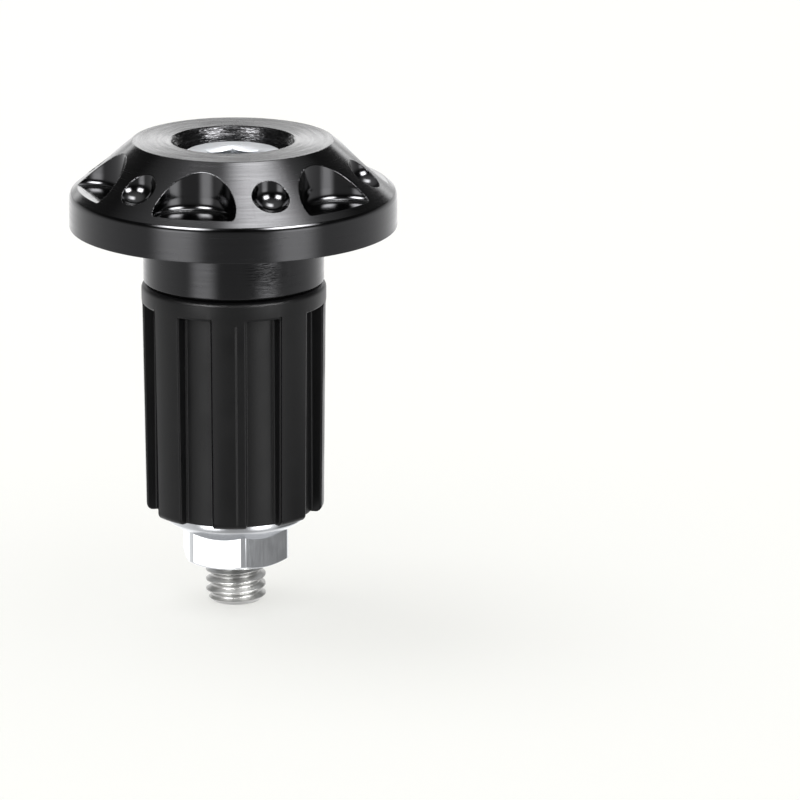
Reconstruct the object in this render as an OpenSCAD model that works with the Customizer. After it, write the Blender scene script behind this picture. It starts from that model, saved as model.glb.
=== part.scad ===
/* [Weight cap] */
// Outer diameter of the rim
rim_d = 32; // [28:0.5:36]
// Height of the straight side of the rim
rim_h = 3.3; // [2.5:0.1:4]
// Edge break where the rim's side turns into the cone
rim_break = 0.25; // [0.1:0.05:0.5]
// Diameter of the flat face at the end of the cone
face_d = 19.6; // [18:0.1:22]
// Height of the flat face above the seat
face_h = 8.5; // [7.5:0.1:10]
// Small edge break around the flat face and at the foot of the rim
edge_break = 0.15; // [0.05:0.05:0.3]

/* [Milled pockets] */
// Number of pockets, and of the dimples between them
milled_count = 6; // [3:1:6]
// Radius of the milled pockets
pocket_r = 4.3; // [3:0.1:4.6]
// Distance of the pocket centres from the axis
pocket_out = 15.1; // [14:0.1:16]
// Height of the pocket floors above the seat
pocket_floor = 4; // [3.8:0.1:5]
// Corner radius between pocket wall and floor
pocket_corner = 0.3; // [0.1:0.1:0.8]
// Angle of the first pocket, from the front towards the right
pocket_angle = -14; // [-30:0.5:30]
// Radius of the round dimples
dimple_r = 2; // [1:0.1:2.4]
// Distance of the dimple centres from the axis
dimple_out = 13.6; // [12.5:0.1:14]
// Height of the dimple ball centres above the seat
dimple_z = 6.3; // [5.5:0.1:7]
// Angle from a pocket to the dimple after it
dimple_angle = 31.5; // [28:0.5:32]

/* [Screw seat] */
// Diameter of the counterbore that takes the screw head
counterbore_d = 11; // [10.5:0.1:12]
// Diameter of the flared mouth of the counterbore
mouth_d = 12.2; // [11.5:0.1:14]
// Depth of the flared mouth
mouth_depth = 0.9; // [0.3:0.1:1.5]
// Diameter of the clearance hole for the screw
clearance_d = 6.6; // [6.4:0.1:7]

/* [Spigot] */
// Diameter of the spigot that goes into the bar
spigot_d = 17.7; // [16:0.1:18]
// Length of the spigot
spigot_l = 5.7; // [4:0.1:8]
// Edge break at the end of the spigot
spigot_break = 0.35; // [0.1:0.05:0.6]

/* [Clamp screw] */
// Diameter of the screw head
head_d = 10; // [9.8:0.1:10.2]
// Height of the screw head
head_h = 5.85; // [5.5:0.05:6]
// Rounding of the top edge of the head
head_round = 0.7; // [0.2:0.1:1]
// Depth of the head's top below the flat face
head_sunk = 1.2; // [0.2:0.1:1.5]
// Width of the hex socket across its flats
socket_af = 5; // [4.9:0.05:5.1]
// Depth of the hex socket
socket_depth = 3; // [2.5:0.1:3.5]
// Diameter of the countersink around the socket's mouth
socket_mouth_d = 6.7; // [6:0.1:7]
// Slope of that countersink
socket_mouth_slope = 30; // [20:5:45]
// Angle of one corner of the socket, from the front towards the right
socket_angle = 3; // [0:0.5:59]
// Thread diameter of the screw
thread_d = 6; // [5.9:0.05:6]
// Length of the screw below its head
screw_l = 39.5; // [38:0.5:44]
// Length of the chamfer at the screw's end
tip_break = 0.65; // [0.3:0.05:1]

/* [Expander sleeve] */
// Diameter of the closed collar at the top of the sleeve
collar_d = 18.1; // [17:0.1:18.2]
// Height of the closed collar
collar_h = 1.9; // [1:0.1:4]
// Diameter over the ribs at the top
rib_top_d = 17.96; // [17:0.02:18]
// Diameter over the ribs at the bottom
rib_end_d = 17.5; // [16.5:0.1:17.8]
// Length of the whole sleeve
sleeve_l = 22.9; // [18:0.1:26]
// Number of ribs
rib_count = 8; // [4:1:10]
// Angle that each rib takes up
rib_width = 22.8; // [15:0.1:28]
// Angle of the first rib's middle, from the front towards the right
rib_angle = -2.3; // [-20:0.1:20]
// Diameter at the bottom of the grooves
groove_d = 15.5; // [14:0.1:16.5]
// Diameter of the hole through the sleeve
sleeve_hole_d = 6.8; // [6.4:0.1:7.5]
// Edge break at the top of the collar
collar_break = 0.3; // [0.1:0.05:0.6]
// Rounding of the bottom edge of the ribs
rib_round = 0.6; // [0.3:0.1:1]

/* [Flange nut] */
// Width of the hexagon across its flats
nut_af = 9.8; // [9.6:0.1:10]
// Diameter over the rounded corners of the hexagon
nut_corner_d = 11.05; // [10.8:0.05:11.3]
// Height of the whole nut
nut_h = 5.2; // [5:0.1:6]
// Diameter of the flange
flange_d = 14; // [12.5:0.1:14.2]
// Height of the flange's straight edge
flange_edge = 0.8; // [0.5:0.1:1.2]
// Slope of the flange's skirt
flange_slope = 33; // [20:1:40]
// Slope of the chamfer at the open end of the hexagon
nut_chamfer = 30; // [20:1:35]
// Angle of one corner of the hexagon, from the front towards the right
nut_angle = 9.5; // [0:0.5:59]
// Radial room between the nut's hole and the screw
nut_play = 0.05; // [0.02:0.01:0.1]

/* [Hidden] */
$fn = 96;

rim_r = rim_d / 2;
face_r = face_d / 2;
shoulder_r = rim_r - rim_break;
shoulder_z = rim_h + rim_break;
cone_slope = (face_h - shoulder_z) / (shoulder_r - face_r);
spigot_r = spigot_d / 2;
head_top = face_h - head_sunk;
seat_z = head_top - head_h;
screw_end = seat_z - screw_l;
sleeve_top = -spigot_l;
sleeve_end = sleeve_top - sleeve_l;
collar_end = sleeve_top - collar_h;
hex_corners = 6;
flange_r = flange_d / 2;
thread_r = thread_d / 2;
past = 0.5;

// Turns a child from the front to an angle counted towards the right
module to_angle(angle) {
    rotate([0, 0, angle]) children();
}

// The places of the pockets, or of the dimples, around the axis
module around(count, first) {
    for (k = [0 : count - 1]) {
        to_angle(first + k * 360 / count) children();
    }
}

// Solid of revolution that the cap is turned to before it is drilled and milled
module turned_blank() {
    rotate_extrude()
        polygon([
            [0, -spigot_l],
            [spigot_r - spigot_break, -spigot_l],
            [spigot_r, -spigot_l + spigot_break],
            [spigot_r, 0],
            [rim_r - edge_break, 0],
            [rim_r, edge_break],
            [rim_r, rim_h],
            [shoulder_r, shoulder_z],
            [face_r + edge_break, face_h - edge_break * cone_slope],
            [face_r - edge_break, face_h],
            [0, face_h]
        ]);
}

// Through hole, counterbore and its flared mouth
module screw_bore() {
    translate([0, 0, -spigot_l - past])
        cylinder(d = clearance_d, h = spigot_l + face_h);
    translate([0, 0, seat_z])
        cylinder(d = counterbore_d, h = face_h);
    translate([0, 0, face_h - mouth_depth])
        cylinder(d1 = counterbore_d, d2 = mouth_d, h = mouth_depth);
    translate([0, 0, face_h])
        cylinder(d = mouth_d, h = past);
}

// Path of the cutter that mills one scallop into the cone, with its rounded corner
module pocket_cutter() {
    cut_h = face_h - pocket_floor + past;
    translate([0, -pocket_out, pocket_floor])
        rotate_extrude()
            union() {
                square([pocket_r - pocket_corner, cut_h]);
                translate([0, pocket_corner])
                    square([pocket_r, cut_h - pocket_corner]);
                translate([pocket_r - pocket_corner, pocket_corner])
                    circle(r = pocket_corner, $fn = 32);
            }
}

// Path of the ball cutter that leaves one round dimple
module dimple_cutter() {
    translate([0, -dimple_out, dimple_z]) {
        sphere(r = dimple_r);
        cylinder(r = dimple_r, h = face_h - dimple_z + past);
    }
}

module weight_cap() {
    color("#1c1c1e")
        difference() {
            turned_blank();
            screw_bore();
            around(milled_count, pocket_angle) pocket_cutter();
            around(milled_count, pocket_angle + dimple_angle) dimple_cutter();
        }
}

// Head of the screw with its rounded top edge
module screw_head() {
    head_r = head_d / 2;
    rotate_extrude()
        union() {
            square([head_r - head_round, head_h]);
            square([head_r, head_h - head_round]);
            translate([head_r - head_round, head_h - head_round])
                circle(r = head_round, $fn = 48);
        }
}

// Hex socket with the countersink around its mouth and the drill point at its floor
module hex_socket() {
    flat_r = socket_af / 2;
    mouth_r = socket_mouth_d / 2;
    mouth_h = (mouth_r - flat_r) * tan(socket_mouth_slope);
    translate([0, 0, head_h - socket_depth])
        to_angle(socket_angle - 90)
            cylinder(r = flat_r / cos(30), h = socket_depth + past, $fn = hex_corners);
    translate([0, 0, head_h - mouth_h])
        cylinder(r1 = flat_r, r2 = mouth_r, h = mouth_h);
    translate([0, 0, head_h - socket_depth - flat_r / 2])
        cylinder(r1 = 0, r2 = flat_r, h = flat_r / 2);
}

module clamp_screw() {
    color("#cfd1d4")
        translate([0, 0, seat_z]) {
            difference() {
                screw_head();
                hex_socket();
            }
            rotate_extrude()
                polygon([
                    [0, -screw_l],
                    [thread_r - tip_break, -screw_l],
                    [thread_r, -screw_l + tip_break],
                    [thread_r, 0],
                    [0, 0]
                ]);
        }
}

// Points of the rounded corner between the side and the end face of the ribs
function rib_corner(side_r) = [
    for (a = [0 : 15 : 90])
        [side_r - rib_round * (1 - cos(a)), sleeve_end + rib_round * (1 - sin(a))]
];

// Sleeve as it would be without its grooves
module sleeve_body() {
    collar_r = collar_d / 2;
    hole_r = sleeve_hole_d / 2;
    rotate_extrude()
        polygon(concat(
            [
                [hole_r, sleeve_top],
                [collar_r - collar_break, sleeve_top],
                [collar_r, sleeve_top - collar_break],
                [collar_r, collar_end],
                [rib_top_d / 2, collar_end]
            ],
            rib_corner(rib_end_d / 2),
            [[hole_r, sleeve_end]]
        ));
}

// One groove, open at the bottom end of the sleeve
module groove() {
    reach = collar_d;
    groove_width = 360 / rib_count - rib_width;
    wall_x = reach * tan(groove_width / 2);
    translate([0, 0, sleeve_end - past])
        difference() {
            linear_extrude(collar_end - sleeve_end + past)
                polygon([[0, 0], [-wall_x, -reach], [wall_x, -reach]]);
            translate([0, 0, -past])
                cylinder(d = groove_d, h = sleeve_l + 2 * past);
        }
}

module expander_sleeve() {
    half_pitch = 180 / rib_count;
    color("#26262a")
        difference() {
            sleeve_body();
            around(rib_count, rib_angle + half_pitch) groove();
        }
}

// Hexagon of the nut, its corners rounded off and chamfered at the open end
module nut_hexagon() {
    corner_r = nut_corner_d / 2;
    flat_r = nut_af / 2;
    chamfer_h = (corner_r - flat_r) * tan(nut_chamfer);
    intersection() {
        cylinder(r = flat_r / cos(30), h = nut_h, $fn = hex_corners);
        union() {
            cylinder(r1 = flat_r, r2 = corner_r, h = chamfer_h);
            translate([0, 0, chamfer_h])
                cylinder(r = corner_r, h = nut_h - chamfer_h);
        }
    }
}

// Flange with its straight edge and sloping skirt
module nut_flange() {
    skirt_h = flange_r * tan(flange_slope);
    intersection() {
        translate([0, 0, nut_h - flange_edge]) {
            cylinder(d = flange_d, h = flange_edge);
            translate([0, 0, -skirt_h])
                cylinder(r1 = 0, r2 = flange_r, h = skirt_h);
        }
        cylinder(d = flange_d, h = nut_h);
    }
}

module flange_nut() {
    hole_r = thread_r + nut_play;
    flare = 0.35;
    color("#cfd1d4")
        translate([0, 0, sleeve_end - nut_h])
            to_angle(nut_angle - 90)
                difference() {
                    union() {
                        nut_hexagon();
                        nut_flange();
                    }
                    translate([0, 0, -past])
                        cylinder(r = hole_r, h = nut_h + 2 * past);
                    cylinder(r1 = hole_r + flare, r2 = hole_r, h = flare);
                    translate([0, 0, nut_h - flare])
                        cylinder(r1 = hole_r, r2 = hole_r + flare, h = flare);
                }
}

weight_cap();
clamp_screw();
expander_sleeve();
flange_nut();
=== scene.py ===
import math

import bpy
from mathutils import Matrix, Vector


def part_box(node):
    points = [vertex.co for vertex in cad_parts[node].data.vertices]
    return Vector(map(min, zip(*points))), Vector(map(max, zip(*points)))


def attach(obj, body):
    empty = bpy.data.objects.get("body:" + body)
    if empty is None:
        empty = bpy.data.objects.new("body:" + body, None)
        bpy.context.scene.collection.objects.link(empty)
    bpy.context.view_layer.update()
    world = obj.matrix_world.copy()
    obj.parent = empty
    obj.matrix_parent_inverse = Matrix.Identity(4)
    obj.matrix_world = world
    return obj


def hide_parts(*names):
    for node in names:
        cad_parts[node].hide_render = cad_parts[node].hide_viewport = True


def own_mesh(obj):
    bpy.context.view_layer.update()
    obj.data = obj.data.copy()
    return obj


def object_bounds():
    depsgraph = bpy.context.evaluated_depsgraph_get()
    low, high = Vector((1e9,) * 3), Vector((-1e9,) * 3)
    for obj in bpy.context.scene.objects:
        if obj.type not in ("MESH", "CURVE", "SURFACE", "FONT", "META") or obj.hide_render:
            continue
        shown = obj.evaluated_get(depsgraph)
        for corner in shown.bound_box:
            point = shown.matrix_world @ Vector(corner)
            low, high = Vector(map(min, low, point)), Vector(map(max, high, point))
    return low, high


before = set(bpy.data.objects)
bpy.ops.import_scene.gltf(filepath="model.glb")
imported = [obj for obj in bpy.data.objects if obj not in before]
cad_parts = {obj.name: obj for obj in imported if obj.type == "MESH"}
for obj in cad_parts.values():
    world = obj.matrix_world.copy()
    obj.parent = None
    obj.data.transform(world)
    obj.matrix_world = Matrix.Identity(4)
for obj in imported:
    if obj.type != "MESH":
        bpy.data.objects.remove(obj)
cad_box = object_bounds()
bpy.ops.object.select_all(action="DESELECT")


# Weight cap: turned from an aluminium bar with its spigot and counterbore, then milled with six flat-floored
# scallops and six ball-nosed dimples, and anodised black all over. The spigot centres it in the bar's end,
# where the clamp screw holds it. The edges keep a fine break, which catches the light.
MM = 0.001
WELD = 0.002 * MM
TURN_STEPS = 192

cap_low, cap_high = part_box("weight_cap")
rim_r = cap_high.x / MM
face_z = cap_high.z / MM
spigot_z = cap_low.z / MM
spigot_r = 8.85
spigot_break = 0.35
rim_top = 2.88
shoulder_low_r = 1
shoulder_high_r = 0.25
shoulder_turn = 32
cone_turn = 50
face_r = 9.8
mouth_r = 6.1
mouth_depth = 0.9
counterbore_r = 5.5
seat_z = 1.45
clearance_r = 3.3
cap_break = 0.08


def turned(name, outline, bored=True):
    """Turns an outline of (radius, height) points in mm about Z. A bored one closes on its first point."""
    radius, height = outline[0]
    bpy.ops.mesh.primitive_circle_add(
        vertices=TURN_STEPS, radius=radius * MM, fill_type="NOTHING" if bored else "NGON"
    )
    piece = bpy.context.object
    piece.name = name
    bpy.ops.object.mode_set(mode="EDIT")
    bpy.ops.transform.translate(value=(0, 0, height * MM))
    for next_radius, next_height in outline[1:] + outline[: int(bored)]:
        step = (0, 0, (next_height - height) * MM)
        growth = next_radius / radius
        bpy.ops.mesh.extrude_region_move(TRANSFORM_OT_translate={"value": step})
        bpy.ops.transform.resize(value=(growth, growth, 1), center_override=(0, 0, 0))
        radius, height = next_radius, next_height
    bpy.ops.mesh.select_all(action="SELECT")
    bpy.ops.mesh.remove_doubles(threshold=WELD)
    bpy.ops.mesh.normals_make_consistent(inside=False)
    bpy.ops.object.mode_set(mode="OBJECT")
    return piece


def arc(centre, radius, first, last, steps):
    """Points of an arc in an outline. Its angles are in degrees, from the outward direction upwards."""
    angles = [math.radians(first + (last - first) * k / steps) for k in range(steps + 1)]
    return [(centre[0] + radius * math.cos(a), centre[1] + radius * math.sin(a)) for a in angles]


def apply_modifier(piece, kind, **settings):
    """Adds a modifier with its settings and applies it."""
    bpy.context.view_layer.objects.active = piece
    modifier = piece.modifiers.new(kind.title(), kind)
    for setting, value in settings.items():
        setattr(modifier, setting, value)
    bpy.ops.object.modifier_apply(modifier=modifier.name)


def cut_with(piece, tool, operation="DIFFERENCE", finish="INDEX"):
    """Combines the piece with a tool mesh and removes that. TRANSFER gives the cut the tool's material."""
    apply_modifier(
        piece, "BOOLEAN", object=tool, operation=operation, solver="MANIFOLD", material_mode=finish,
    )
    bpy.data.objects.remove(tool)
    bpy.ops.object.mode_set(mode="EDIT")
    bpy.ops.mesh.select_all(action="SELECT")
    bpy.ops.mesh.remove_doubles(threshold=WELD)
    bpy.ops.object.mode_set(mode="OBJECT")


def ring_of(tool, angles):
    """Joins turned copies of a tool, at angles in degrees from the front towards the right."""
    copies = []
    for angle in angles:
        copy = tool.copy()
        copy.data = tool.data.copy()
        copy.rotation_euler.z = math.radians(angle)
        bpy.context.collection.objects.link(copy)
        copies.append(copy)
    bpy.data.objects.remove(tool)
    bpy.ops.object.select_all(action="DESELECT")
    for copy in copies:
        copy.select_set(True)
    bpy.context.view_layer.objects.active = copies[0]
    bpy.ops.object.transform_apply(location=True, rotation=True, scale=True)
    bpy.ops.object.join()
    bpy.ops.object.select_all(action="DESELECT")
    return copies[0]


def moved(piece, offset):
    """Moves a mesh by an offset in mm and leaves its object at the origin."""
    bpy.ops.object.select_all(action="DESELECT")
    piece.select_set(True)
    bpy.context.view_layer.objects.active = piece
    piece.location = [value * MM for value in offset]
    bpy.ops.object.transform_apply(location=True, rotation=True, scale=True)
    bpy.ops.object.select_all(action="DESELECT")
    return piece


def break_edges(piece, width, angle=30, segments=2):
    """Rounds the edges that turn by more than an angle."""
    apply_modifier(
        piece, "BEVEL", width=width * MM, segments=segments, limit_method="ANGLE",
        angle_limit=math.radians(angle), use_clamp_overlap=False,
    )


def smooth(piece, angle=180):
    """Smooths the shading up to an angle, with flat faces kept flat beside their rounded edges."""
    bpy.ops.object.select_all(action="DESELECT")
    piece.select_set(True)
    bpy.context.view_layer.objects.active = piece
    bpy.ops.object.shade_smooth_by_angle(angle=math.radians(angle))
    apply_modifier(piece, "WEIGHTED_NORMAL", keep_sharp=True)
    bpy.ops.object.select_all(action="DESELECT")


def uncut(form, inside_out=False):
    """A copy of a turned form before it is cut or cuts, with even shading."""
    copy = form.copy()
    copy.data = form.data.copy()
    bpy.context.collection.objects.link(copy)
    if inside_out:
        bpy.context.view_layer.objects.active = copy
        bpy.ops.object.mode_set(mode="EDIT")
        bpy.ops.mesh.select_all(action="SELECT")
        bpy.ops.mesh.flip_normals()
        bpy.ops.object.mode_set(mode="OBJECT")
    smooth(copy, angle=30)
    return copy


def shade_as(piece, form):
    """Gives what is left of an uncut form on a piece that form's even shading, and removes the form."""
    apply_modifier(
        piece, "DATA_TRANSFER", object=form, use_loop_data=True, data_types_loops={"CUSTOM_NORMAL"},
        loop_mapping="POLYINTERP_NEAREST", use_max_distance=True, max_distance=0.003 * MM,
    )
    bpy.data.objects.remove(form)


step_in = math.radians(shoulder_turn)
shoulder_centre = (
    rim_r - shoulder_low_r + (shoulder_low_r - shoulder_high_r) * math.cos(step_in),
    rim_top + (shoulder_low_r - shoulder_high_r) * math.sin(step_in),
)
cap_outline = [
    (clearance_r, spigot_z),
    (spigot_r - spigot_break, spigot_z),
    (spigot_r, spigot_z + spigot_break),
    (spigot_r, 0),
    (rim_r, 0),
    *arc((rim_r - shoulder_low_r, rim_top), shoulder_low_r, 0, shoulder_turn, 4),
    *arc(shoulder_centre, shoulder_high_r, shoulder_turn, cone_turn, 3)[1:],
    (face_r, face_z),
    (mouth_r, face_z),
    (counterbore_r, face_z - mouth_depth),
    (counterbore_r, seat_z),
    (clearance_r, seat_z),
]
cap = turned("cap_turned_and_milled", cap_outline)

pocket_count = 6
pocket_r = 4.3
pocket_out = 15.1
pocket_floor = 4
pocket_angle = -14
dimple_r = 2
dimple_out = 13.6
dimple_z = 6.3
dimple_angle = 17.5
cutter_top = face_z + 1

# The wall curves up from the pocket's floor in three sweeps, each with its radius and the angle at which it
# ends, where -90 is the flat floor and 0 the upright wall. The middle one catches the glints.
pocket_sweeps = ((0.3, -30), (1.2, -10), (4, 0))
pocket_wall = [(0, pocket_floor)]
sweep_start = -90
for sweep_r, sweep_end in pocket_sweeps:
    foot_r, foot_z = pocket_wall[-1]
    foot_turn = math.radians(sweep_start)
    sweep_centre = (foot_r - sweep_r * math.cos(foot_turn), foot_z - sweep_r * math.sin(foot_turn))
    pocket_wall += arc(sweep_centre, sweep_r, sweep_start, sweep_end, 5)[1:]
    sweep_start = sweep_end
floor_r = pocket_r - pocket_wall[-1][0]
pocket_wall = [(floor_r + out, height) for out, height in pocket_wall]
pocket_cutter = turned("pocket_cutter", pocket_wall + [(pocket_r, cutter_top)], bored=False)

# An outline can't start on the axis, so the ball starts two degrees off it.
dimple_cutter = turned(
    "dimple_cutter",
    arc((0, dimple_z), dimple_r, -88, 0, 24) + [(dimple_r, cutter_top)],
    bored=False,
)
moved(pocket_cutter, (0, -pocket_out, 0))
moved(dimple_cutter, (0, -dimple_out, 0))


def linear(hex_colour):
    """Linear colour of an sRGB hex value, with alpha."""
    parts = [int(hex_colour[i : i + 2], 16) / 255 for i in (1, 3, 5)]
    return [p / 12.92 if p <= 0.04045 else ((p + 0.055) / 1.055) ** 2.4 for p in parts] + [1]


def add_node(tree, kind, inputs=None, output=0, **options):
    """Adds a shader node with its options and gives one output. An input is a value or a node's output."""
    node = tree.nodes.new("ShaderNode" + kind)
    for option, value in options.items():
        setattr(node, option, value)
    for socket, value in (inputs or {}).items():
        if isinstance(value, bpy.types.NodeSocket):
            tree.links.new(value, node.inputs[socket])
        else:
            node.inputs[socket].default_value = value
    return node.outputs[output]


def new_material(name):
    """A material with its tree and its Principled shader."""
    material = bpy.data.materials.new(name)
    material.use_nodes = True
    return material, material.node_tree, material.node_tree.nodes["Principled BSDF"]


# Black anodised aluminium, fine turned: a dark dyed oxide over metal. The lathe's feed marks run round it,
# and they spread each highlight across them. The marks are drawn 0.25 mm apart, coarser than real, so that
# they show. The tool chattered in the counterbore and on one patch of the spigot, and left ragged ridges.
FALLING = {"To Min": 1, "To Max": 0}
BLACK_ANODISED = "#3b3b3c"

turned_black, tree, shader = new_material("black_anodised_aluminium_turned")
mark_spacing = 0.25
mark_arc = 0.4
mark_height = 0.01
flat_share = -0.7
ridge_height = 0.17
ridge_coarseness = 1.3
chatter_bearing = math.radians(23)
chatter_z = -3
chatter_core = 0.8
chatter_reach = 2.6
bore_edge = 0.1

# One length along the outline counts the marks on flat, cone and cylinder alike, and the bearing follows them.
place = add_node(tree, "TexCoord", output="Object")
flat_place = add_node(tree, "VectorMath", {0: place, 1: (1, 1, 0)}, operation="MULTIPLY")
radius = add_node(tree, "VectorMath", {0: flat_place}, output="Value", operation="LENGTH")
height = add_node(tree, "SeparateXYZ", {0: place}, output="Z")
bearing = add_node(tree, "VectorMath", {0: flat_place}, operation="NORMALIZE")
around = add_node(tree, "VectorMath", {0: bearing, "Scale": 1 / mark_arc}, operation="SCALE")
outline_length = add_node(tree, "Math", {0: radius, 1: flat_share, 2: height}, operation="MULTIPLY_ADD")
across = add_node(tree, "Math", {0: outline_length, 1: 1 / (mark_spacing * MM)}, operation="MULTIPLY")
mark_place = add_node(tree, "CombineXYZ", {"Z": across})
mark_place = add_node(tree, "VectorMath", {0: around, 1: mark_place}, operation="ADD")
mark_noise = add_node(tree, "TexNoise", {"Vector": mark_place, "Scale": 1, "Detail": 3, "Roughness": 0.6})
mark_bump = add_node(tree, "Bump", {"Height": mark_noise, "Strength": 0.9, "Distance": mark_height * MM})

chatter_spot = (
    spigot_r * math.sin(chatter_bearing) * MM,
    -spigot_r * math.cos(chatter_bearing) * MM,
    chatter_z * MM,
)
from_spot = add_node(tree, "VectorMath", {0: place, 1: chatter_spot}, output="Value", operation="DISTANCE")
near_spot = {"Value": from_spot, "From Min": chatter_core * MM, "From Max": chatter_reach * MM, **FALLING}
in_bore = {"Value": radius, "From Min": (mouth_r - bore_edge) * MM, "From Max": mouth_r * MM, **FALLING}
near_spot = add_node(tree, "MapRange", near_spot)
in_bore = add_node(tree, "MapRange", in_bore)
chattered = add_node(tree, "Math", {0: near_spot, 1: in_bore}, operation="MAXIMUM")
ridges = {"Vector": mark_place, "Scale": ridge_coarseness, "Detail": 2, "Roughness": 0.7}
ridges = add_node(tree, "TexNoise", ridges)
ridges = add_node(tree, "Math", {0: ridges, 1: chattered}, operation="MULTIPLY")
ridge_bump = add_node(
    tree, "Bump", {"Height": ridges, "Strength": 1, "Distance": ridge_height * MM, "Normal": mark_bump}
)
tree.links.new(ridge_bump, shader.inputs["Normal"])
worn = {"Value": mark_noise, "From Min": 0.3, "From Max": 0.7, "To Min": 0.2, "To Max": 0.28}
tree.links.new(add_node(tree, "MapRange", worn), shader.inputs["Roughness"])
tangent = add_node(tree, "Tangent", direction_type="RADIAL", axis="Z")
tree.links.new(tangent, shader.inputs["Tangent"])
shader.inputs["Base Color"].default_value = linear(BLACK_ANODISED)
shader.inputs["Metallic"].default_value = 1
shader.inputs["Anisotropic"].default_value = 0.85
shader.inputs["Anisotropic Rotation"].default_value = 0.25

# The same black where the milling cutters went and on the burnished shoulder: smoother than the turned skin,
# with faint waves from the cutter.
milled_black, tree, shader = new_material("black_anodised_aluminium_milled")
wave_size = 1.43
wave_height = 0.05

place = add_node(tree, "TexCoord", output="Object")
waves = add_node(tree, "TexNoise", {"Vector": place, "Scale": 1 / (wave_size * MM), "Detail": 1})
wave_bump = add_node(tree, "Bump", {"Height": waves, "Strength": 0.12, "Distance": wave_height * MM})
tree.links.new(wave_bump, shader.inputs["Normal"])
waved = {"Value": waves, "From Min": 0.3, "From Max": 0.7, "To Min": 0.1, "To Max": 0.14}
tree.links.new(add_node(tree, "MapRange", waved), shader.inputs["Roughness"])
shader.inputs["Base Color"].default_value = linear(BLACK_ANODISED)
shader.inputs["Metallic"].default_value = 1

# The shoulder takes the milled finish before the cutters go in, and each cutter leaves its own.
cap.data.materials.append(turned_black)
cap.data.materials.append(milled_black)
cone_foot = shoulder_centre[1] + shoulder_high_r * math.sin(math.radians(cone_turn))
for face in cap.data.polygons:
    if rim_top * MM < face.center.z < cone_foot * MM and face.center.xy.length > face_r * MM:
        face.material_index = 1
for cutter in (pocket_cutter, dimple_cutter):
    cutter.data.materials.append(milled_black)
turns = [k * 360 / pocket_count for k in range(pocket_count)]
pocket_cutters = ring_of(pocket_cutter, [pocket_angle + turn for turn in turns])
dimple_cutters = ring_of(dimple_cutter, [dimple_angle + turn for turn in turns])
uncut_forms = [uncut(cap), uncut(pocket_cutters, inside_out=True), uncut(dimple_cutters, inside_out=True)]
cut_with(cap, pocket_cutters, finish="TRANSFER")
cut_with(cap, dimple_cutters, finish="TRANSFER")
break_edges(cap, cap_break)
smooth(cap)
for form in uncut_forms:
    shade_as(cap, form)
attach(cap, "cap")
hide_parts("weight_cap")


# Clamp screw: M6 x 40 socket head cap screw of steel, forged, thread-rolled and bright zinc plated. Its head
# sits in the cap's counterbore, the socket has a shallow countersink, and the thread draws up the nut.
PITCH = 1

screw_low, screw_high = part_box("clamp_screw")
head_top = screw_high.z / MM
screw_end = screw_low.z / MM
head_r = 5
head_round = 0.7
head_break = 0.1
shank_r = 2.98
shank_runout = 0.4
thread_length = 24
thread_start = screw_end + thread_length
thread_overlap = 1
crest_r = 2.96
root_r = 2.4
tip_length = 0.65
socket_af = 5
socket_depth = 3
socket_mouth_r = 3.35
socket_angle = 3
socket_break = 0.05
countersink_slope = 30
drill_point_depth = 1.2
point_r = 0.01


def finish_with(piece, material):
    """Gives the whole piece one material."""
    piece.data.materials.clear()
    piece.data.materials.append(material)


def traced(name, points):
    """A chain of edges through (radius, height) points in mm, in the plane of X and Z."""
    bpy.ops.mesh.primitive_plane_add(size=MM)
    chain = bpy.context.object
    chain.name = name
    bpy.ops.object.mode_set(mode="EDIT")
    bpy.ops.mesh.merge(type="CENTER")
    x, z = 0, 0
    for index, (next_x, next_z) in enumerate(points):
        step = ((next_x - x) * MM, 0, (next_z - z) * MM)
        if index == 0:
            bpy.ops.transform.translate(value=step)
        else:
            bpy.ops.mesh.extrude_region_move(TRANSFORM_OT_translate={"value": step})
        x, z = next_x, next_z
    bpy.ops.object.mode_set(mode="OBJECT")
    return chain


def thread(name, crest, root, low, high):
    """A right-hand thread as a closed solid that runs a little past its low and high ends, in mm."""
    first = math.floor(low / PITCH - 2) * PITCH
    turns = math.ceil((high - first) / PITCH) + 2
    # Half a groove and half a crest, as radii at shares of the pitch, with their corners a little eased
    ease = 0.03
    half = [(root, 0), (root, 0.1), (root + ease, 0.15), (crest - ease, 0.42), (crest, 0.45)]
    profile = half + [(radius, 1 - share) for radius, share in reversed(half)]
    rod = traced(name, [(radius, first + share * PITCH) for radius, share in profile])
    apply_modifier(
        rod, "SCREW", axis="Z", angle=2 * math.pi, screw_offset=PITCH * MM, iterations=turns,
        steps=96, render_steps=96, use_merge_vertices=False,
    )
    bpy.ops.object.mode_set(mode="EDIT")
    bpy.ops.mesh.select_all(action="SELECT")
    bpy.ops.mesh.remove_doubles(threshold=WELD)
    bpy.ops.mesh.select_all(action="DESELECT")
    bpy.ops.mesh.select_mode(type="EDGE")
    bpy.ops.mesh.select_non_manifold()
    bpy.ops.mesh.fill_holes(sides=0)
    bpy.ops.mesh.poke()
    bpy.ops.mesh.select_mode(type="VERT")
    bpy.ops.mesh.select_all(action="SELECT")
    bpy.ops.mesh.normals_make_consistent(inside=False)
    bpy.ops.object.mode_set(mode="OBJECT")
    return rod


def prism(name, across_flats, low, high, angle):
    """A hexagonal prism between two heights in mm, one corner at an angle from the front towards the right."""
    corner_r = across_flats / 2 / math.cos(math.radians(30))
    bpy.ops.mesh.primitive_cylinder_add(vertices=6, radius=corner_r * MM, depth=(high - low) * MM)
    solid = bpy.context.object
    solid.name = name
    solid.rotation_euler.z = math.radians(angle)
    return moved(solid, (0, 0, (low + high) / 2))


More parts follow.
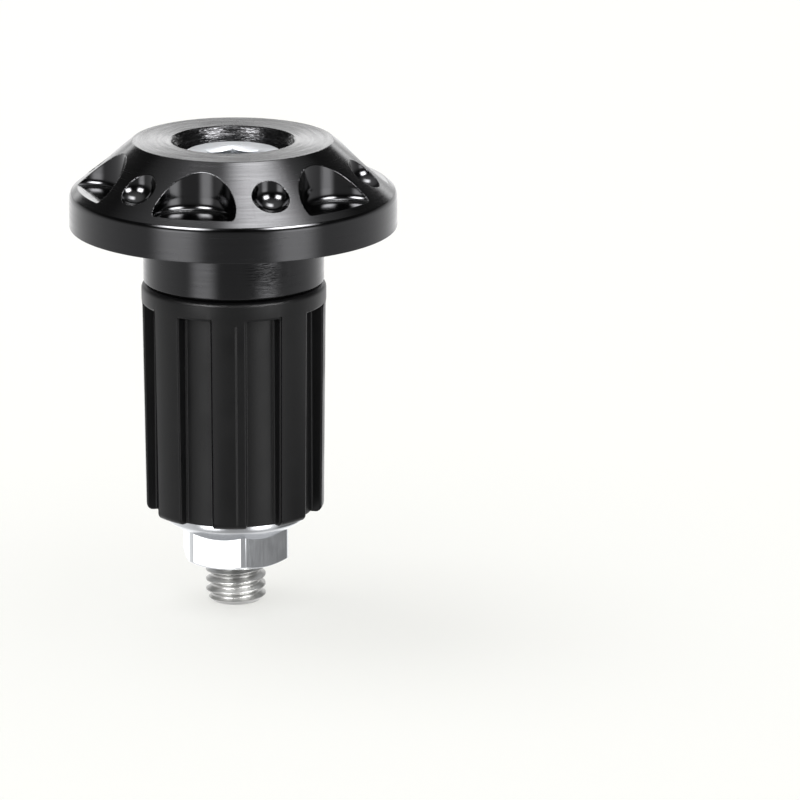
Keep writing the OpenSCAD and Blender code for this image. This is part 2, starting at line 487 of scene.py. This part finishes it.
# Bright zinc on steel: a thin blue-white plating over a drawn and forged surface. It is mottled from
# millimetre to millimetre, dullest on the forged head, and handling has left fine scratches. They are drawn
# 0.4 mm apart, coarser than real, so that they show.
zinc, tree, shader = new_material("bright_zinc_plated_steel")
mottle_size = 1.11
lump_size = 2.86
lump_height = 0.04
scratch_spacing = 0.4
scratch_length = 3.33
scratch_depth = 0.02
forged_z = head_top - 0.4
forged_edge = 0.2

place = add_node(tree, "TexCoord", output="Object")
lumps = add_node(tree, "TexNoise", {"Vector": place, "Scale": 1 / (lump_size * MM), "Detail": 1})
lump_bump = add_node(tree, "Bump", {"Height": lumps, "Strength": 0.06, "Distance": lump_height * MM})
scratch_scale = [1 / (size * MM) for size in (scratch_spacing, scratch_spacing, scratch_length)]
stretched = add_node(tree, "VectorMath", {0: place, 1: scratch_scale}, operation="MULTIPLY")
scratches = add_node(tree, "TexNoise", {"Vector": stretched, "Scale": 1, "Detail": 2})
scratch_bump = {"Height": scratches, "Strength": 0.5, "Distance": scratch_depth * MM, "Normal": lump_bump}
tree.links.new(add_node(tree, "Bump", scratch_bump), shader.inputs["Normal"])
mottle = {"Vector": place, "Scale": 1 / (mottle_size * MM), "Detail": 3, "Roughness": 0.6}
mottle = add_node(tree, "TexNoise", mottle)
dulled = {"Value": mottle, "From Min": 0.2, "From Max": 0.8, "To Min": 0.16, "To Max": 0.24}
dulled = add_node(tree, "MapRange", dulled)
place_z = add_node(tree, "SeparateXYZ", {0: place}, output="Z")
forged = {"Value": place_z, "From Min": (forged_z - forged_edge) * MM, "From Max": forged_z * MM, "To Max": 0.3}
forged = add_node(tree, "MapRange", forged)
tree.links.new(add_node(tree, "Math", {0: dulled, 1: forged}, operation="ADD"), shader.inputs["Roughness"])
shader.inputs["Base Color"].default_value = linear("#d0d2d5")
shader.inputs["Metallic"].default_value = 1

# The same plating on the rolled thread, duller, and with painted shade: a darker grey than the head's, so that
# it mirrors less light.
shaded_thread_zinc, tree, shader = new_material("zinc_plated_thread_painted_shade")
grime_size = 1.25

place = add_node(tree, "TexCoord", output="Object")
grime = add_node(tree, "TexNoise", {"Vector": place, "Scale": 1 / (grime_size * MM), "Detail": 3})
dulled = {"Value": grime, "From Min": 0.3, "From Max": 0.7, "To Min": 0.34, "To Max": 0.46}
tree.links.new(add_node(tree, "MapRange", dulled), shader.inputs["Roughness"])
# Painted shade: the thread's zinc is drawn darker than the head's.
shader.inputs["Base Color"].default_value = linear("#b4b4b2")
shader.inputs["Metallic"].default_value = 1

screw = turned(
    "screw_head_and_shank",
    [
        (root_r, thread_start - thread_overlap),
        (shank_r, thread_start - shank_runout),
        (shank_r, seat_z),
        (head_r - head_break, seat_z),
        (head_r, seat_z + head_break),
        *arc((head_r - head_round, head_top - head_round), head_round, 0, 90, 8),
    ],
    bored=False,
)
socket_floor = head_top - socket_depth
socket = prism("socket", socket_af, socket_floor, head_top + 1, socket_angle)
countersink_floor = head_top - socket_mouth_r * math.tan(math.radians(countersink_slope))
countersink = turned("countersink", [(point_r, countersink_floor), (socket_mouth_r, head_top)], bored=False)
drill_point = turned(
    "drill_point", [(point_r, socket_floor - drill_point_depth), (socket_af / 2, socket_floor)], bored=False
)
cut_with(screw, socket)
cut_with(screw, countersink)
cut_with(screw, drill_point)
break_edges(screw, socket_break, angle=35)

# The threaded end is a turned blank, with its tip chamfered, that keeps only what the thread leaves of it.
threaded = turned(
    "threaded_end",
    [(root_r, screw_end), (root_r + tip_length, screw_end + tip_length), (root_r + tip_length, thread_start)],
    bored=False,
)
cut_with(threaded, thread("screw_thread", crest_r, root_r, screw_end, thread_start), "INTERSECT")
finish_with(screw, zinc)
finish_with(threaded, shaded_thread_zinc)
cut_with(screw, threaded, "UNION", finish="TRANSFER")
smooth(screw, angle=50)
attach(screw, "screw")
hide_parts("clamp_screw")


# Expander sleeve: one moulding of black rubber, with a closed collar and eight ribs that taper a little
# towards the nut. It is slipped over the screw, and tightening squeezes it until the ribs grip the bar.
sleeve_low, sleeve_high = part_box("expander_sleeve")
sleeve_top = sleeve_high.z / MM
sleeve_end = sleeve_low.z / MM
collar_r = sleeve_high.x / MM
collar_break = 0.3
collar_height = 1.9
rib_top_r = 8.98
rib_end_r = 8.75
rib_round = 0.6
rib_break = 0.2
rib_count = 8
rib_width = 22.8
rib_angle = -2.3
groove_floor_r = 7.75
sleeve_hole_r = 3.4
collar_end = sleeve_top - collar_height

sleeve = turned(
    "sleeve_moulded",
    [
        (sleeve_hole_r, sleeve_top),
        (collar_r - collar_break, sleeve_top),
        (collar_r, sleeve_top - collar_break),
        (collar_r, collar_end + collar_break),
        (rib_top_r, collar_end - collar_break),
        *arc((rib_end_r - rib_round, sleeve_end + rib_round), rib_round, 0, -90, 6),
        (sleeve_hole_r, sleeve_end),
    ],
)
groove_width = 360 / rib_count - rib_width
groove_out_r = collar_r + 1
groove_low = sleeve_end - 1

# A groove is a flat blade spun round the axis, wide enough to leave one rib between two of them.
bpy.ops.mesh.primitive_plane_add(size=1)
groove = bpy.context.object
groove.name = "groove"
groove.scale = ((groove_out_r - groove_floor_r) * MM, (collar_end - groove_low) * MM, 1)
groove.rotation_euler = (math.pi / 2, 0, 0)
moved(groove, ((groove_out_r + groove_floor_r) / 2, 0, (collar_end + groove_low) / 2))
bpy.ops.object.select_all(action="DESELECT")
bpy.context.view_layer.objects.active = groove
bpy.ops.object.mode_set(mode="EDIT")
bpy.ops.mesh.select_all(action="SELECT")
bpy.ops.mesh.spin(steps=12, angle=math.radians(groove_width), center=(0, 0, 0), axis=(0, 0, 1))
bpy.ops.mesh.select_all(action="SELECT")
bpy.ops.mesh.normals_make_consistent(inside=False)
bpy.ops.object.mode_set(mode="OBJECT")
first_groove = rib_angle - rib_width / 2 - 90
cut_with(sleeve, ring_of(groove, [first_groove + k * 360 / rib_count for k in range(rib_count)]))
break_edges(sleeve, rib_break, segments=3)
smooth(sleeve)

# Moulded rubber: black, with the satin skin that a polished steel mould leaves, rubbed in patches. Its grain
# is drawn 0.2 mm across, coarser than real, so that it shows. Where the mould's halves met, a thin line stands
# on it, front and back, below the collar.
rubber, tree, shader = new_material("moulded_black_rubber")
parting_x = 0.4
parting_half_width = 0.11
parting_height = 0.04
parting_top = collar_end - 0.4
parting_fade = 0.1
grain_size = 0.2
grain_height = 0.01
patch_size = 4

place = add_node(tree, "TexCoord", output="Object")
place_x = add_node(tree, "SeparateXYZ", {0: place}, output="X")
place_z = add_node(tree, "SeparateXYZ", {0: place}, output="Z")
offset = add_node(tree, "Math", {0: place_x, 1: parting_x * MM}, operation="SUBTRACT")
offset = add_node(tree, "Math", {0: offset}, operation="ABSOLUTE")
line = add_node(tree, "MapRange", {"Value": offset, "From Max": parting_half_width * MM, **FALLING})
fade = {"From Min": (parting_top - parting_fade) * MM, "From Max": parting_top * MM, **FALLING}
below_collar = add_node(tree, "MapRange", {"Value": place_z, **fade})
line = add_node(tree, "Math", {0: line, 1: below_collar}, operation="MULTIPLY")
line_bump = add_node(tree, "Bump", {"Height": line, "Strength": 1, "Distance": parting_height * MM})
grain = add_node(tree, "TexNoise", {"Vector": place, "Scale": 1 / (grain_size * MM), "Detail": 2})
grain_bump = {"Height": grain, "Strength": 0.3, "Distance": grain_height * MM, "Normal": line_bump}
tree.links.new(add_node(tree, "Bump", grain_bump), shader.inputs["Normal"])
patches = add_node(tree, "TexNoise", {"Vector": place, "Scale": 1 / (patch_size * MM), "Detail": 3})
rubbed = {"Value": patches, "From Min": 0.3, "From Max": 0.7, "To Min": 0.3, "To Max": 0.42}
tree.links.new(add_node(tree, "MapRange", rubbed), shader.inputs["Roughness"])
shader.inputs["Base Color"].default_value = linear("#141415")
shader.inputs["Specular IOR Level"].default_value = 0.2
finish_with(sleeve, rubber)
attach(sleeve, "cap")
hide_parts("expander_sleeve")
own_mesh(sleeve)


# Flange nut: M6, of steel, cold formed, tapped and bright zinc plated. It runs on the clamp screw, and its
# flange presses on the sleeve's end.
nut_low, nut_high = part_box("flange_nut")
nut_end = nut_low.z / MM
nut_top = nut_high.z / MM
nut_af = 9.8
nut_corner_r = 5.525
nut_chamfer = 30
nut_chamfer_in = 0.15
nut_break = 0.06
nut_angle = 9.5
nut_play = 0.05
nut_flare = 0.4
flare_depth = 1.2
flare_past = 0.01
hex_sunk = 0.3
flange_r = 7
flange_edge = 0.8
flange_break = 0.12
flange_slope = 33
hub_r = 3.6

nut = prism("nut", nut_af, nut_end, nut_top - hex_sunk, nut_angle)
chamfer_r = nut_af / 2 - nut_chamfer_in
chamfer_height = (nut_corner_r - chamfer_r) * math.tan(math.radians(nut_chamfer))
corner_turning = turned(
    "corner_turning",
    [(chamfer_r, nut_end), (nut_corner_r, nut_end + chamfer_height), (nut_corner_r, nut_top)],
    bored=False,
)
cut_with(nut, corner_turning, "INTERSECT")
break_edges(nut, nut_break, angle=20)
flange_foot = nut_top - flange_edge
skirt_height = (flange_r - hub_r) * math.tan(math.radians(flange_slope))
flange = turned(
    "flange",
    [(hub_r, flange_foot - skirt_height), (flange_r, flange_foot), (flange_r, nut_top)],
    bored=False,
)
break_edges(flange, flange_break)
cut_with(nut, flange, "UNION")
tapped_hole = thread("tapped_hole", crest_r + nut_play, root_r + nut_play, nut_end, nut_top)
cut_with(nut, tapped_hole)
flare_r = crest_r + nut_flare
for end, inward in ((nut_end, 1), (nut_top, -1)):
    flare = turned(
        "flare",
        [(flare_r, end - inward * flare_past), (flare_r - flare_depth, end + inward * flare_depth)],
        bored=False,
    )
    cut_with(nut, flare)
smooth(nut, angle=50)
finish_with(nut, zinc)
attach(nut, "nut")
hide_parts("flange_nut")


# Camera: the height and distance at which the photograph was taken, through a long lens.
camera_data = bpy.data.cameras.new("camera")
camera_data.sensor_width = 36
camera_data.lens = 297
camera_data.clip_start = 0.01
camera_data.clip_end = 20
camera = bpy.data.objects.new("camera", camera_data)
camera.location = (0.01625, -0.6259, 0.1523)
camera.rotation_euler = (math.radians(90 - 15.2), 0, 0)
bpy.context.collection.objects.link(camera)
bpy.context.scene.camera = camera

# Studio: a white floor and plain soft light from all round, with a broad lamp overhead for the soft shadow.
# Soft boxes, their glow on the floor, a backdrop and a dark flag show in reflections alone, as the bands and
# glints on the dark metal and the bright steel.
floor_z = cad_box[0].z
bpy.ops.mesh.primitive_plane_add(size=6, location=(0, 0, floor_z))
floor = bpy.context.object
floor.name = "floor"
floor.visible_glossy = False

# White paper, with some light of its own for the camera alone, so that it stays white and keeps the shadow.
paper, tree, shader = new_material("white_paper")
own_light = 0.5
shader.inputs["Base Color"].default_value = linear("#fcfcf9")
shader.inputs["Roughness"].default_value = 1
shader.inputs["Specular IOR Level"].default_value = 0
seen = add_node(tree, "LightPath", output="Is Camera Ray")
seen = add_node(tree, "Math", {0: seen, 1: own_light}, operation="MULTIPLY")
white = add_node(tree, "Emission", {"Color": linear("#fffffb")})
mixed = add_node(tree, "MixShader", {0: seen, 1: shader.outputs[0], 2: white})
tree.links.new(mixed, tree.nodes["Material Output"].inputs["Surface"])
floor.data.materials.append(paper)


def reflection_card(name, azimuth, elevation, width, height, strength, fade, distance=0.6):
    """A glowing card that shows in reflections alone.

    Its place and size are angles in degrees as seen from the object, the azimuth from the front towards the
    right. It fades out over shares of its width and height at its left, right, bottom and top.
    """
    turn, lift = math.radians(azimuth), math.radians(elevation)
    bpy.ops.mesh.primitive_plane_add(
        size=1,
        location=[
            distance * math.cos(lift) * math.sin(turn),
            -distance * math.cos(lift) * math.cos(turn),
            distance * math.sin(lift),
        ],
        rotation=(math.pi / 2 - lift, 0, turn),
    )
    card = bpy.context.object
    card.name = name
    card.scale = [2 * distance * math.tan(math.radians(angle / 2)) for angle in (width, height)] + [1]
    card.visible_camera = card.visible_diffuse = card.visible_shadow = False
    glow, tree, shader = new_material(name + "_glow")
    spot = add_node(tree, "TexCoord", output="Generated")
    cover = 1
    for axis, first, last in (("X", fade[0], fade[1]), ("Y", fade[2], fade[3])):
        along = add_node(tree, "SeparateXYZ", {0: spot}, output=axis)
        for outer, inner in ((0, first), (1, 1 - last)):
            share = {"Value": along, "From Min": outer, "From Max": inner}
            share = add_node(tree, "MapRange", share, interpolation_type="SMOOTHSTEP")
            cover = add_node(tree, "Math", {0: cover, 1: share}, operation="MULTIPLY")
    clear = add_node(tree, "BsdfTransparent")
    light = add_node(tree, "Emission", {"Strength": strength})
    mixed = add_node(tree, "MixShader", {0: cover, 1: clear, 2: light})
    tree.links.new(mixed, tree.nodes["Material Output"].inputs["Surface"])
    card.data.materials.append(glow)


reflection_card(
    "backdrop", azimuth=180, elevation=15, width=76, height=10, strength=2.75,
    fade=(0.3, 0.3, 0.2, 0.2), distance=0.9,
)
for side, azimuth in (("left", -38), ("right", 45)):
    reflection_card(
        side + "_floor_glow", azimuth, elevation=-10, width=44, height=42, strength=4.4,
        fade=(0.4, 0.4, 0.6, 0.2), distance=0.7,
    )
    reflection_card(
        side + "_soft_box", azimuth, elevation=35, width=40, height=22, strength=40,
        fade=(0.4, 0.4, 0.4, 0.1),
    )
reflection_card(
    "overhead_soft_box", azimuth=90, elevation=77, width=30, height=40, strength=20,
    fade=(0.35, 0.35, 0.6, 0.35),
)
reflection_card(
    "dark_flag", azimuth=97, elevation=-38, width=50, height=26, strength=0.2,
    fade=(0.2, 0.2, 0.1, 0.3), distance=0.077,
)

# The room: reflections see it brightest behind the object and low down, with a glow straight overhead, and
# all else is lit evenly, a little more from below.
world = bpy.data.worlds.new("studio")
bpy.context.scene.world = world
world.use_nodes = True
tree = world.node_tree
direction = add_node(tree, "TexCoord", output="Generated")
backward = add_node(tree, "SeparateXYZ", {0: direction}, output="Y")
upward = add_node(tree, "SeparateXYZ", {0: direction}, output="Z")
behind = add_node(tree, "MapRange", {"Value": backward, "From Min": -1, "To Min": 0.38, "To Max": 1.4})
above = add_node(tree, "MapRange", {"Value": upward, "From Max": 0.3, "To Min": 1, "To Max": 0.07})
mirrored = add_node(tree, "Math", {0: behind, 1: above}, operation="MULTIPLY")
overhead = add_node(tree, "MapRange", {"Value": upward, "From Min": 0.65, "From Max": 0.97, "To Max": 1.1})
mirrored = add_node(tree, "Math", {0: mirrored, 1: overhead}, operation="ADD")
spread = add_node(tree, "MapRange", {"Value": upward, "To Min": 1.4, "To Max": 0.62})
is_glossy = add_node(tree, "LightPath", output="Is Glossy Ray")
level = add_node(tree, "Mix", {"Factor": is_glossy, "A": spread, "B": mirrored}, data_type="FLOAT")
tree.nodes["Background"].inputs["Color"].default_value = (1, 1, 1, 1)
tree.links.new(level, tree.nodes["Background"].inputs["Strength"])
lamp_data = bpy.data.lights.new("overhead_lamp", "AREA")
lamp_data.size = 0.5
lamp_data.energy = 1.6
lamp = bpy.data.objects.new("overhead_lamp", lamp_data)
lamp.location = (-0.32, 0.22, 0.72)
lamp.rotation_euler = (-0.3, -0.41, 0)
lamp.visible_glossy = False
bpy.context.collection.objects.link(lamp)

bpy.context.scene.view_settings.view_transform = "Standard"
